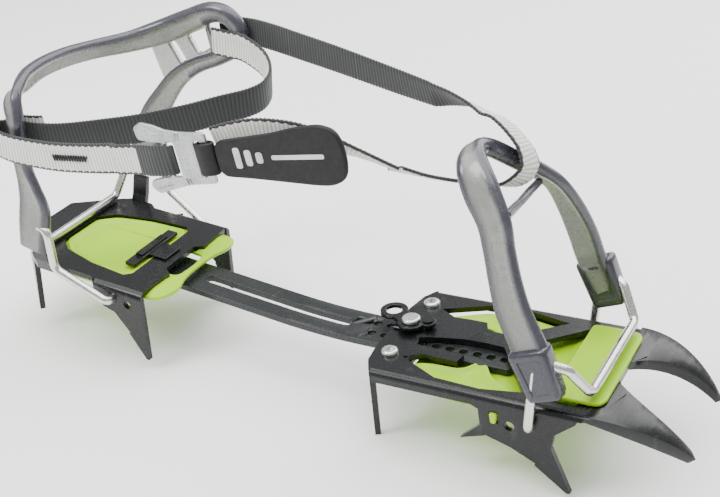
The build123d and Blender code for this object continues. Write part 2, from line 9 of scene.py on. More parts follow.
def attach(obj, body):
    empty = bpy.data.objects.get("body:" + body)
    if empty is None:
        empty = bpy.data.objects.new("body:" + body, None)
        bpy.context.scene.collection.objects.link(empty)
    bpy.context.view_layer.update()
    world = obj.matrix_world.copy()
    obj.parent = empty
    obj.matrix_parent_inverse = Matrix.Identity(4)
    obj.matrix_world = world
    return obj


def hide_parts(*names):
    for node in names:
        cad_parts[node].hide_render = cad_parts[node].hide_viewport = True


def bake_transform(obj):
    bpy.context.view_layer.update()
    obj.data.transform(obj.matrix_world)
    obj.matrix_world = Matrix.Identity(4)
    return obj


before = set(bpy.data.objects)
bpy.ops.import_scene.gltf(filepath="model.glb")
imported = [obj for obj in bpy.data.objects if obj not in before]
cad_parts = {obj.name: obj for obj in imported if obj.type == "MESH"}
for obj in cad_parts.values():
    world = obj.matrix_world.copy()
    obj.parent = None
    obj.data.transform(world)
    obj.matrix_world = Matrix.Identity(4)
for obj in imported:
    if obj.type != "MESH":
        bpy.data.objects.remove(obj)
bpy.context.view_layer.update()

# ---- places, in millimetres, before the crampon is pitched onto its points ---------------
PITCH = math.radians(2.2)
SPRING = math.radians(6.5)
ORIGIN_X = -7.0
BREAK_X = 123.8
MM = 0.001


def place(x, y, z):
    """A point of the level heel drawing, in metres in the object's frame."""
    dx = x - ORIGIN_X
    return Vector((dx * math.cos(PITCH) + z * math.sin(PITCH), y,
                   z * math.cos(PITCH) - dx * math.sin(PITCH))) * MM


def place_front(x, y, z):
    """A point drawn in the front frame's own plane."""
    dx = x - BREAK_X
    return place(BREAK_X + dx * math.cos(SPRING) - z * math.sin(SPRING), y,
                 dx * math.sin(SPRING) + z * math.cos(SPRING))


# ---- camera --------------------------------------------------------------------------------
HEADING, DIP, ROLL = (math.radians(a) for a in (29.01, 29.81, -1.77))
LENS = 60.3
CAMERA_AT = (0.3132, -0.3873, 0.2822)


def add_camera():
    ahead = Vector((-math.sin(HEADING), math.cos(HEADING), 0))
    right = Vector((math.cos(HEADING), math.sin(HEADING), 0))
    view_dir = ahead * math.cos(DIP) - Vector((0, 0, 1)) * math.sin(DIP)
    up = ahead * math.sin(DIP) + Vector((0, 0, 1)) * math.cos(DIP)
    side = right * math.cos(ROLL) + up * math.sin(ROLL)
    top = up * math.cos(ROLL) - right * math.sin(ROLL)
    data = bpy.data.cameras.new("camera")
    data.lens, data.sensor_width = LENS, 36.0
    data.clip_start, data.clip_end = 0.01, 20.0
    camera = bpy.data.objects.new("camera", data)
    camera.matrix_world = Matrix((side, top, -view_dir)).transposed().to_4x4()
    camera.location = CAMERA_AT
    bpy.context.scene.collection.objects.link(camera)
    bpy.context.scene.camera = camera


# ---- node materials ------------------------------------------------------------------------
class Look:
    """A Principled material with helpers for its procedural nodes."""

    def __init__(self, name, roughness=0.5, metallic=0.0, **sockets):
        self.mat = bpy.data.materials.new(name)
        self.mat.use_nodes = True
        self.nodes, self.links = self.mat.node_tree.nodes, self.mat.node_tree.links
        self.shader = self.nodes["Principled BSDF"]
        self.set("Roughness", roughness)
        self.set("Metallic", metallic)
        for key, value in sockets.items():
            self.set(key.replace("_", " "), value)
        self.coords = self.nodes.new("ShaderNodeTexCoord").outputs["Object"]

    def set(self, socket, value):
        self.shader.inputs[socket].default_value = value

    def link(self, output, socket):
        self.links.new(output, self.shader.inputs[socket])

    def noise(self, scale, detail=4.0, stretch=None):
        node = self.nodes.new("ShaderNodeTexNoise")
        node.inputs["Scale"].default_value = scale
        node.inputs["Detail"].default_value = detail
        source = self.coords
        if stretch:
            mapping = self.nodes.new("ShaderNodeMapping")
            mapping.inputs["Scale"].default_value = stretch
            self.links.new(source, mapping.inputs["Vector"])
            source = mapping.outputs["Vector"]
        self.links.new(source, node.inputs["Vector"])
        return node.outputs["Fac"]

    def voronoi(self, scale):
        node = self.nodes.new("ShaderNodeTexVoronoi")
        node.inputs["Scale"].default_value = scale
        self.links.new(self.coords, node.inputs["Vector"])
        return node.outputs["Distance"]

    def attribute(self, name):
        node = self.nodes.new("ShaderNodeAttribute")
        node.attribute_name = name
        return node.outputs["Fac"]

    def ramp(self, source, stops):
        node = self.nodes.new("ShaderNodeValToRGB")
        band = node.color_ramp
        while len(band.elements) < len(stops):
            band.elements.new(0.5)
        for element, (place_at, colour) in zip(band.elements, stops):
            element.position = place_at
            element.color = (*colour, 1) if len(colour) == 3 else (colour[0],) * 3 + (1,)
        self.links.new(source, node.inputs["Fac"])
        return node.outputs["Color"]

    def math(self, operation, a, b=0.0, c=0.0):
        node = self.nodes.new("ShaderNodeMath")
        node.operation = operation
        for socket, value in zip(node.inputs, (a, b, c)):
            if isinstance(value, (int, float)):
                socket.default_value = value
            else:
                self.links.new(value, socket)
        return node.outputs["Value"]

    def mix(self, factor, a, b, blend="MIX"):
        node = self.nodes.new("ShaderNodeMix")
        node.data_type, node.blend_type = "RGBA", blend
        for socket, value in zip((node.inputs[0], node.inputs[6], node.inputs[7]),
                                 (factor, a, b)):
            if isinstance(value, (int, float)):
                socket.default_value = value
            elif isinstance(value, tuple):
                socket.default_value = (*value, 1)
            else:
                self.links.new(value, socket)
        return node.outputs[2]

    def bump(self, height, strength, distance):
        node = self.nodes.new("ShaderNodeBump")
        node.inputs["Strength"].default_value = strength
        node.inputs["Distance"].default_value = distance
        self.links.new(height, node.inputs["Height"])
        self.link(node.outputs["Normal"], "Normal")


def black_paint(name="black_paint", low=(0.002, 0.0024, 0.0028), high=(0.006, 0.007, 0.008)):
    look = Look(name, 0.34, Coat_Weight=0.12, Coat_Roughness=0.14, Specular_IOR_Level=0.35)
    cloud, grain = look.noise(38, 3), look.noise(900, 2)
    scuff = look.ramp(look.noise(160, 8, (1, 1, 0.25)), [(0.62, (0,)), (0.72, (1,))])
    base = look.ramp(cloud, [(0.3, low), (0.75, high)])
    look.link(look.mix(look.math("MULTIPLY", scuff, 0.35), base, (0.045, 0.048, 0.05)),
              "Base Color")
    look.link(look.ramp(grain, [(0.3, (0.24,)), (0.8, (0.38,))]), "Roughness")
    look.bump(look.mix(0.35, look.noise(420, 3), grain), 0.10, 0.0002)
    return look.mat


def bare_metal(name, low, high, rough, stretch, scale=220, pitted=0.0):
    look = Look(name, rough, 1.0)
    brush = look.noise(scale, 6, stretch)
    colour = look.ramp(brush, [(0.25, low), (0.75, high)])
    height = brush
    if pitted:
        pits = look.noise(1500, 3)
        colour = look.mix(look.ramp(pits, [(0.52, (0,)), (0.66, (pitted,))]), colour,
                          (0.22, 0.22, 0.23))
        height = look.mix(0.7, brush, pits)
    look.link(colour, "Base Color")
    look.link(look.ramp(brush, [(0.2, (rough * 0.75,)), (0.8, (rough * 1.35,))]), "Roughness")
    look.bump(height, 0.18 if pitted else 0.07, 0.0002)
    return look.mat


def green_plastic():
    look = Look("green_plastic", 0.42, Subsurface_Weight=0.12, Subsurface_Scale=0.002,
                Specular_IOR_Level=0.35)
    look.set("Subsurface Radius", (0.6, 1.0, 0.2))
    cloud, grain = look.noise(30, 3), look.noise(1400, 2)
    base = look.ramp(cloud, [(0.3, (0.30, 0.56, 0.0)), (0.72, (0.37, 0.65, 0.0))])
    speck = look.ramp(look.noise(520, 2), [(0.66, (0,)), (0.74, (0.4,))])
    look.link(look.mix(speck, base, (0.26, 0.43, 0.0)), "Base Color")
    look.link(look.ramp(grain, [(0.3, (0.36,)), (0.8, (0.5,))]), "Roughness")
    look.bump(grain, 0.08, 0.0002)
    return look.mat


def smoke_tpu(name, web, rim, blend_with_rim=True):
    """Translucent moulded elastomer, lighter where it is thin and darker in its thick rims."""
    look = Look(name, 0.28, Transmission_Weight=0.34, IOR=1.45, Coat_Weight=0.4,
                Coat_Roughness=0.12, Subsurface_Weight=0.0)
    flow = look.noise(55, 4, (1, 1, 0.4))
    factor = look.attribute("rim") if blend_with_rim else flow
    shade = look.ramp(factor, [(0.05, web), (0.95, rim)])
    tint = look.ramp(flow, [(0.25, (0.93, 0.94, 0.93)), (0.75, (1.05, 1.05, 1.07))])
    look.link(look.mix(1.0, shade, tint, "MULTIPLY"), "Base Color")
    look.link(look.ramp(look.noise(300, 3), [(0.3, (0.24,)), (0.8, (0.36,))]), "Roughness")
    look.bump(look.noise(700, 3), 0.04, 0.0002)
    return look.mat


WEAVE_PITCH = 1.7          # mm between the webbing's ribs


def woven(name):
    """Ribbed webbing: one face white with black saw-tooth edges, the other face black."""
    look = Look(name, 0.85, Sheen_Weight=0.25, Sheen_Roughness=0.5)
    run, across, side = (look.attribute(n) for n in ("run", "across", "side"))
    turn = look.math("MULTIPLY", run, 2 * math.pi / WEAVE_PITCH)
    rib = look.math("MULTIPLY_ADD", look.math("COSINE", turn), 0.5, 0.5)
    thread = look.math("SINE", look.math("MULTIPLY", across, 62.0))
    thread = look.math("MULTIPLY_ADD", thread, 0.5, 0.5)
    fuzz = look.noise(2600, 3)
    # Painted shade: both faces are coloured darker in the rib valleys (rib near 0) and lighter on
    # the rib crests, on top of the modelled ribs and their bump.
    black = look.ramp(rib, [(0.0, (0.004, 0.005, 0.005)), (1.0, (0.022, 0.026, 0.027))])
    white = look.ramp(rib, [(0.0, (0.46, 0.45, 0.42)), (0.45, (0.76, 0.75, 0.71)),
                            (1.0, (0.84, 0.83, 0.80))])
    tooth = look.math("PINGPONG", run, WEAVE_PITCH)
    limit = look.math("MULTIPLY_ADD", tooth, 0.085 / WEAVE_PITCH, 0.80)
    inside = look.math("LESS_THAN", look.math("ABSOLUTE", across), limit)
    facing = look.math("GREATER_THAN", side, 0.5)
    mask = look.math("MULTIPLY", inside, facing)
    colour = look.mix(mask, black, white)
    dirt = look.ramp(look.noise(140, 5), [(0.35, (1.0, 1.0, 1.0)), (0.8, (0.88, 0.87, 0.84))])
    colour = look.mix(1.0, colour, dirt, "MULTIPLY")
    colour = look.mix(look.math("MULTIPLY", fuzz, 0.08), colour, (0.2, 0.2, 0.2))
    look.link(colour, "Base Color")
    height = look.math("MULTIPLY_ADD", thread, 0.35, look.math("MULTIPLY", fuzz, 0.5))
    look.bump(height, 0.4, 0.0003)
    return look.mat


def matte_rubber(name, colour, rough):
    look = Look(name, rough, Specular_IOR_Level=0.35)
    grain = look.voronoi(1500)
    cloud = look.noise(60, 4)
    low = tuple(c * 0.75 for c in colour)
    high = tuple(c * 1.35 for c in colour)
    look.link(look.ramp(cloud, [(0.3, low), (0.75, high)]), "Base Color")
    look.link(look.ramp(look.noise(500, 2), [(0.3, (rough * 0.88,)), (0.7, (rough * 1.1,))]),
              "Roughness")
    look.bump(grain, 0.12, 0.0002)
    return look.mat


# ---- mesh helpers --------------------------------------------------------------------------
def add_mesh(name, vertices, faces, material, attributes=None, smooth=True):
    mesh = bpy.data.meshes.new(name)
    mesh.from_pydata([tuple(v) for v in vertices], [], faces)
    for key, values in (attributes or {}).items():
        layer = mesh.attributes.new(key, "FLOAT", "POINT")
        layer.data.foreach_set("value", values)
    mesh.materials.append(material)
    piece = bpy.data.objects.new(name, mesh)
    bpy.context.scene.collection.objects.link(piece)
    work = bmesh.new()
    work.from_mesh(mesh)
    bmesh.ops.recalc_face_normals(work, faces=work.faces)
    for face in work.faces:
        face.smooth = smooth
    work.to_mesh(mesh)
    work.free()
    return piece


def ring_faces(count, size, closed_run=False):
    """Quads between successive rings, with end caps unless the run closes on itself."""
    faces = []
    for i in range(count if closed_run else count - 1):
        a, b = i * size, ((i + 1) % count) * size
        for k in range(size):
            n = (k + 1) % size
            faces.append((a + k, a + n, b + n, b + k))
    if not closed_run:
        faces.append(tuple(range(size))[::-1])
        faces.append(tuple(range((count - 1) * size, count * size)))
    return faces


def smooth_run(stations, step):
    """Catmull-Rom through tuples of numbers whose first three are a place, evenly spaced."""
    rows = [tuple(float(v) for v in s) for s in stations]
    padded = [rows[0]] + rows + [rows[-1]]
    dense = []
    for i in range(1, len(padded) - 2):
        p0, p1, p2, p3 = padded[i - 1:i + 3]
        for k in range(16):
            t = k / 16
            dense.append(tuple(
                0.5 * (2 * b + (c - a) * t + (2 * a - 5 * b + 4 * c - d) * t * t
                       + (3 * b - a - 3 * c + d) * t ** 3)
                for a, b, c, d in zip(p0, p1, p2, p3)))
    dense.append(rows[-1])
    lengths = [0.0]
    for a, b in zip(dense, dense[1:]):
        lengths.append(lengths[-1] + (Vector(b[:3]) - Vector(a[:3])).length)
    count = max(2, round(lengths[-1] / step))
    out, j = [], 0
    for i in range(count + 1):
        target = lengths[-1] * i / count
        while j < len(dense) - 2 and lengths[j + 1] < target:
            j += 1
        span = lengths[j + 1] - lengths[j] or 1.0
        t = min(max((target - lengths[j]) / span, 0.0), 1.0)
        out.append(tuple(a + (b - a) * t for a, b in zip(dense[j], dense[j + 1])))
    return out


def frames_along(rows):
    """(centre, across, normal) for each row of (place, across vector, ...)."""
    out = []
    for i, row in enumerate(rows):
        before = Vector(rows[max(i - 1, 0)][:3])
        after = Vector(rows[min(i + 1, len(rows) - 1)][:3])
        along = (after - before).normalized()
        across = Vector(row[3:6])
        across = (across - along * across.dot(along)).normalized()
        out.append((Vector(row[:3]), across, along.cross(across)))
    return out


def flat_part(name, loops, thick, bevel, to_world, material, corner=0.0):
    """Sheet part from closed outlines (the first outside, the rest holes), edges rounded."""
    data = bpy.data.curves.new(name + "_outline", "CURVE")
    data.dimensions, data.fill_mode = "2D", "BOTH"
    for points in loops:
        points = round_corners(points, corner) if corner else points
        spline = data.splines.new("POLY")
        spline.points.add(len(points) - 1)
        for target, (x, y) in zip(spline.points, points):
            target.co = (x, y, 0, 1)
        spline.use_cyclic_u = True
    data.extrude = thick / 2 - bevel
    data.bevel_depth, data.bevel_resolution = bevel, 2
    data.offset = -bevel
    holder = bpy.data.objects.new(name + "_outline", data)
    bpy.context.scene.collection.objects.link(holder)
    bpy.context.view_layer.update()
    mesh = bpy.data.meshes.new_from_object(holder.evaluated_get(
        bpy.context.evaluated_depsgraph_get()))
    bpy.data.objects.remove(holder)
    piece = bpy.data.objects.new(name, mesh)
    bpy.context.scene.collection.objects.link(piece)
    work = bmesh.new()
    work.from_mesh(mesh)
    bmesh.ops.remove_doubles(work, verts=work.verts, dist=0.001)
    for vertex in work.verts:
        vertex.co = to_world(*vertex.co)
    bmesh.ops.recalc_face_normals(work, faces=work.faces)
    work.to_mesh(mesh)
    work.free()
    mesh.materials.clear()
    mesh.materials.append(material)
    return piece


def round_corners(points, radius, parts=5):
    """Replace each corner of a closed outline by a short curve."""
    out, count = [], len(points)
    for i, here in enumerate(points):
        here = Vector(here)
        before, after = Vector(points[i - 1]), Vector(points[(i + 1) % count])
        reach = min(radius, (before - here).length * 0.48, (after - here).length * 0.48)
        start = here + (before - here).normalized() * reach
        end = here + (after - here).normalized() * reach
        for k in range(parts + 1):
            t = k / parts
            out.append(tuple(start * (1 - t) ** 2 + here * 2 * t * (1 - t) + end * t * t))
    return out


def finish_piece(piece, body, slot, *nodes):
    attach(piece, body)
    if nodes:
        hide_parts(*nodes)
    return piece


# ---- webbing -------------------------------------------------------------------------------
STRAP_THICK = 1.5


def webbing(name, stations, white_side, start=0.0, end=1.0, rib=0.13, black_after=None):
    """Ribbed strap through (x, y, z, across x, y, z, width); white_side is the +1 or -1 face."""
    rows = smooth_run(stations, WEAVE_PITCH / 5)
    total = len(rows) - 1
    first, last = round(total * start), round(total * end)
    step_run = WEAVE_PITCH / 5
    columns = [-1, -0.96, -0.85, -0.6, -0.3, 0, 0.3, 0.6, 0.85, 0.96, 1]
    places = frames_along(rows)
    vertices, run, across_at, side_at = [], [], [], []
    for i in range(first, last + 1):
        centre, across, normal = places[i]
        width = rows[i][6]
        distance = i * step_run
        phase = math.cos(2 * math.pi * distance / WEAVE_PITCH)
        tooth = 0.16 * math.cos(math.pi * distance / WEAVE_PITCH * 2)
        for side in (1, -1):
            for u in (columns if side > 0 else reversed(columns)):
                edge = max(0.0, abs(u) - 0.85) / 0.15
                half = (STRAP_THICK / 2 + rib * (0.5 + 0.5 * phase) - rib) * (1 - 0.45 * edge ** 2)
                reach = u * (width / 2 + (tooth if abs(u) > 0.9 else 0))
                vertices.append(place(*(centre + across * reach + normal * half * side)))
                run.append(distance)
                across_at.append(u)
                white = side * white_side > 0 and not (
                    black_after is not None and i > total * black_after)
                side_at.append(1.0 if white else 0.0)
    faces = ring_faces(last - first + 1, 2 * len(columns))
    return add_mesh(name, vertices, faces, WEBBING,
                    {"run": run, "across": across_at, "side": side_at})


def upright(points, width):
    return [(*p, 0, 0, 1, width) for p in points]


def heel_webbing():
    around = upright([(-10, 43.6, 91.5), (-2, 43.2, 91.6), (8, 41.5, 92), (22, 36, 89.5),
                      (30.5, 28, 86), (33.5, 18, 84), (31, 9, 83), (24, 0, 82), (13, -9, 79),
                      (-3, -18.5, 75), (-20, -26, 71.5), (-37, -31.5, 68), (-50, -34.5, 66.5),
                      (-60, -35.6, 66), (-65.5, -37.6, 65.7), (-67.4, -40.8, 65.4),
                      (-65.5, -44.2, 65.2), (-60, -46.2, 65), (-50, -46.8, 65), (-30, -47, 67),
                      (-10, -47, 71), (4, -47, 74.5)], 13.0)
    finish_piece(webbing("heel_webbing", around, 1), "heel_bail", "webbing", "heel_strap")
    tail = upright([(-68, -33.0, 68.5), (-58, -32.4, 69), (-49, -30.8, 70)], 10.0)
    finish_piece(webbing("webbing_tail", tail, 1), "heel_bail", "webbing", "strap_tail")
    doubled = upright([(3.6, -48.3, 74.4), (12, -48.6, 76.6), (18, -49.6, 78.2), (26, -50.9, 80.3),
                       (33, -50.6, 82.1), (35.2, -49.0, 82.7)], 12.6)
    finish_piece(webbing("buckle_webbing", doubled, 1, black_after=0.42), "heel_bail", "webbing",
                 "buckle_strap")


def long_webbing():
    """The long strap: each free run is three pieces, each named after one of the bodies it spans.
    """
    top = [(x, y, z, 0, -lean, 1, 12.5) for x, y, z, lean in (
        (-10, 50.4, 95.2, 0), (6, 50, 97, 0), (21, 45.5, 98.5, 0), (39, 39.5, 99.5, 0.05),
        (63, 32, 100.5, 0.12), (93, 23, 101, 0.25), (113.5, 16.5, 101.6, 0.4))]
    back = [(x, y, z, 0, -lean, 1, 12.5) for x, y, z, lean in (
        (119.5, -27.5, 89.8, 1.4), (107, -34, 96, 1.1), (97, -37, 98.5, 0.6),
        (84, -40, 100, 0.2), (70, -41.8, 98.5, 0), (60, -42.6, 95.5, 0),
        (50, -43.2, 91, 0))]
    shares = [(0.0, 0.34), (0.34, 0.67), (0.67, 1.0)]
    for run, label, node, order in ((top, "upper", "strap_upper_run", 1),
                                    (back, "lower", "strap_lower_run", -1)):
        pairs = [("heel_bail", "heel_section"), ("heel_section", "front_section"),
                 ("front_section", "toe_bail")][::order]
        for (start, end), pair in zip(shares, pairs):
            pair = pair[::order]
            piece = webbing(f"webbing_{label}_{pair[0]}", run, -1, start, end)
            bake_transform(piece)
            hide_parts(node)


def toe_webbing():
    over = (-0.3, -1, 0.5)
    route = [(113.5, 16.5, 101.6, 0, -0.4, 1), (122, 15, 102.6, 0, -0.8, 0.9),
             (131, 13.5, 102.4, 0, -1, 0.6), (139, 11, 101, 0, -1, 0.4),
             (145.5, 8.5, 101, *over), (153, 5.5, 98, *over), (159, 3.5, 93, *over),
             (161, 2, 86.5, *over), (156.4, 0, 80.6, *over), (148.5, -2.5, 78.6, 0, -1, 0.4),
             (141, -8, 80.3, 0, -1, 0.5), (133, -14.5, 82.8, 0, -1, 0.55),
             (126, -21, 86, 0, -1, 0.6), (119.5, -27.5, 89.8, 0, -1.4, 1)]
    loop = webbing("toe_webbing", [(*r, 12.5) for r in route], -1)
    finish_piece(loop, "toe_bail", "webbing", "strap_toe_loop")


def stitch():
    """Bar-tack: a row of short raised threads across the heel strap."""
    vertices, faces, size = [], [], 6
    count = 26
    for i in range(count):
        t = i / (count - 1)
        lean = 0.9 if i % 2 else -0.9
        x, z = -29.5 + 17.5 * t, 67.2 + 3.5 * t
        for end in (-1, 1):
            for k in range(size):
                angle = 2 * math.pi * k / size
                vertices.append(place(x + end * lean * 0.5 + 0.42 * math.cos(angle),
                                      -48.05 + 0.34 * math.sin(angle), z + end * 1.25))
        base = i * 2 * size
        faces += [tuple(base + v for v in face) for face in ring_faces(2, size)]
    thread = matte_rubber("black_thread", (0.012, 0.013, 0.014), 0.7)
    finish_piece(add_mesh("bar_tack", vertices, faces, thread), "heel_bail", "black_thread",
                 "strap_stitching")


# ---- moulded baskets -----------------------------------------------------------------------
def section(width, thick, web, rim_low, rim_high):
    """Half thickness across a band: rounded rims (where asked) either side of a thinner web."""
    columns = []
    count = 14
    for k in range(count + 1):
        u = -math.cos(math.pi * k / count)
        distance = (1 - abs(u)) * width / 2
        rim_here = rim_high if u > 0 else rim_low
        full = thick / 2 if rim_here else web / 2
        reach = full * 1.15
        round_end = math.sqrt(max(0.0, 1 - max(0.0, 1 - distance / reach) ** 2))
        rim_width = max(thick * 0.62, 2.4)
        fade = min(max((distance - rim_width * 0.55) / (rim_width * 0.6), 0.0), 1.0)
        fade = fade * fade * (3 - 2 * fade)
        half = full + (web / 2 - full) * fade
        columns.append((u, half * round_end, (1 - fade) if rim_here else 0.0))
    return columns


def moulded_band(name, stations, material):
    """Band through (x, y, z, across x, y, z, width, thick, web, rim low, rim high)."""
    rows = smooth_run(stations, 1.2)
    vertices, rim_values = [], []
    size = 0
    for (centre, across, normal), row in zip(frames_along(rows), rows):
        columns = section(row[6], row[7], row[8], row[9] > 0.5, row[10] > 0.5)
        ring = [(u, h, r) for u, h, r in columns] + [(u, -h, r) for u, h, r in columns[-2:0:-1]]
        size = len(ring)
        for u, h, r in ring:
            vertices.append(place(*(centre + across * (u * row[6] / 2) + normal * h)))
            rim_values.append(r)
    return add_mesh(name, vertices, ring_faces(len(rows), size), material, {"rim": rim_values})


def toe_basket():
    near = [(189.5, -36, 15.5, 1, 0, 0.7, 14.5, 7, 7, 1, 1),
            (183.5, -36, 28, 1, 0, 0.65, 15.5, 6.6, 5.6, 1, 1),
            (178.3, -35.6, 37.5, 1, 0, 0.55, 15, 6, 4.2, 1, 1),
            (172.3, -34.6, 47.5, 1, 0, 0.48, 14.5, 5.4, 3.4, 1, 1),
            (168, -33.3, 58, 1, 0, 0.45, 13.5, 5.2, 3.2, 1, 1),
            (164.2, -31.6, 69, 1, 0, 0.45, 13, 5.2, 3.2, 1, 1),
            (160.5, -29.6, 79, 1, 0, 0.55, 14, 5.4, 3.8, 1, 1),
            (153.5, -26.4, 88.5, 1, 0.1, 0.5, 14.6, 6, 4.8, 1, 1),
            (146.8, -20, 95.3, 1, 0.3, 0.4, 12.2, 6.6, 5.8, 1, 1),
            (144.6, -12, 97.1, 0.9, 0.2, 0.7, 9.4, 6.4, 6, 1, 1),
            (147, -4, 94.8, 0.8, 0.1, 0.9, 8, 6, 5.8, 1, 1)]
    far = [(154, 5, 87.8, 0.75, -0.1, 0.8, 8.2, 5.8, 5.4, 1, 1),
           (161, 13, 80.8, 0.9, -0.2, 0.7, 9, 5.8, 3.8, 0, 1),
           (167, 19, 73.6, 1, -0.2, 0.6, 10.2, 5.8, 2.8, 0, 1),
           (172, 25, 62.2, 1, -0.1, 0.5, 12, 5.8, 2.4, 0, 1),
           (176.6, 29.2, 50, 1, 0, 0.45, 13, 5.6, 2.4, 0, 1),
           (180.6, 32, 38, 1, 0, 0.45, 13.2, 6, 3.2, 0, 1),
           (184.4, 34, 29, 1, 0, 0.6, 13.5, 6.6, 6, 1, 1),
           (188.5, 34.6, 21.5, 1, 0, 0.7, 12.5, 6.6, 6.6, 1, 1)]
    band = moulded_band("toe_basket_band", near + far, SMOKE)
    finish_piece(band, "toe_bail", "smoke_tpu", "toe_basket")
    strut = moulded_band("toe_basket_strut", [
        (163.2, -29.5, 79.8, 0.6, 0, 1, 10, 3.4, 2.4, 1, 1),
        (162.2, -18, 77.8, 0.6, 0, 1, 8.6, 3.4, 2.4, 1, 1),
        (161.5, -8, 76, 0.6, 0, 1, 8, 3.4, 2.4, 1, 1),
        (160.8, 2, 75, 0.6, 0, 1, 8.4, 3.4, 2.4, 1, 1),
        (160.5, 12, 74, 0.6, 0, 1, 9.5, 3.4, 2.4, 1, 1)], SMOKE)
    finish_piece(strut, "toe_bail", "smoke_tpu")
    rows = smooth_run(near, 1.2)
    frames = frames_along(rows)
    ridge = []
    for u, first, last in ((-0.5, 0.30, 0.56), (0.5, 0.56, 0.30)):
        count = 24
        for k in range(count + 1):
            at = first + (last - first) * k / count
            centre, across, normal = frames[round(at * (len(frames) - 1))]
            width = rows[round(at * (len(rows) - 1))][6]
            ridge.append(centre + across * (u * width / 2) + normal * 1.75)
    finish_piece(tube_loop("toe_basket_panel", ridge, 0.5, SMOKE), "toe_bail", "smoke_tpu")
    bars = []
    for k in range(5):
        at = 0.35 + 0.04 * k
        centre, across, normal = frames[round(at * (len(frames) - 1))]
        half = 2.4 - 0.25 * k
        bars.append([centre + across * s * half + normal * 1.65 for s in (-1, 1)])
    finish_piece(rods("toe_basket_ribs", bars, 0.45, SMOKE), "toe_bail", "smoke_tpu")
    for side, name in ((-1, "toe_basket_foot_outer"), (1, "toe_basket_foot_inner")):
        centre = (185.0, -36.4, 24.5) if side < 0 else (186.4, 35.2, 26)
        finish_piece(soft_block(name, centre, (16.5, 8.8, 22), -27, SMOKE_DARK), "toe_bail",
                     "smoke_tpu")


def tube_loop(name, points, radius, material):
    """Thin raised line round a closed path."""
    size, count = 6, len(points)
    vertices = []
    for i, point in enumerate(points):
        along = (points[(i + 1) % count] - points[i - 1]).normalized()
        side = along.cross(Vector((0, 0, 1))).normalized()
        up = along.cross(side)
        for k in range(size):
            angle = 2 * math.pi * k / size
            vertices.append(place(*(point + (side * math.cos(angle) + up * math.sin(angle))
                                    * radius)))
    faces = ring_faces(count, size, closed_run=True)
    return add_mesh(name, vertices, faces, material, {"rim": [0.3] * len(vertices)})


def rods(name, lines, radius, material):
    """Short raised ribs between pairs of points."""
    size, vertices, faces = 8, [], []
    for start, end in lines:
        along = (end - start).normalized()
        side = along.cross(Vector((0.3, 1, 0.2))).normalized()
        up = along.cross(side)
        base = len(vertices)
        for t, scale in ((0, 0.3), (0.08, 1), (0.92, 1), (1, 0.3)):
            centre = start.lerp(end, t)
            for k in range(size):
                angle = 2 * math.pi * k / size
                vertices.append(place(*(centre + (side * math.cos(angle) + up * math.sin(angle))
                                        * radius * scale)))
        faces += [tuple(base + v for v in face) for face in ring_faces(4, size)]
    return add_mesh(name, vertices, faces, material, {"rim": [0.3] * len(vertices)})


def soft_block(name, centre, size, lean, material, rounding=2.6):
    """Rounded block, leaning about Y, with a shallow recess on its outer face."""
    work = bmesh.new()
    bmesh.ops.create_cube(work, size=1.0)
    for vertex in work.verts:
        vertex.co = Vector([c * s for c, s in zip(vertex.co, size)])
        if vertex.co.z < 0:
            vertex.co.x *= 0.86
    bmesh.ops.bevel(work, geom=work.edges[:], offset=rounding, segments=4, affect="EDGES",
                    profile=0.6)
    sides = [f for f in work.faces if abs(f.normal.y) > 0.98 and f.calc_area() > 40]
    bmesh.ops.inset_individual(work, faces=sides, thickness=1.3, depth=0.0)
    bmesh.ops.inset_individual(work, faces=sides, thickness=0.5, depth=-0.45)
    turn = Matrix.Rotation(math.radians(lean), 4, "Y")
    for vertex in work.verts:
        vertex.co = place(*(turn @ vertex.co + Vector(centre)))
    mesh = bpy.data.meshes.new(name)
    for face in work.faces:
        face.smooth = True
    work.to_mesh(mesh)
    work.free()
    mesh.materials.append(material)
    piece = bpy.data.objects.new(name, mesh)
    bpy.context.scene.collection.objects.link(piece)
    mesh.set_sharp_from_angle(angle=math.radians(50))
    return piece


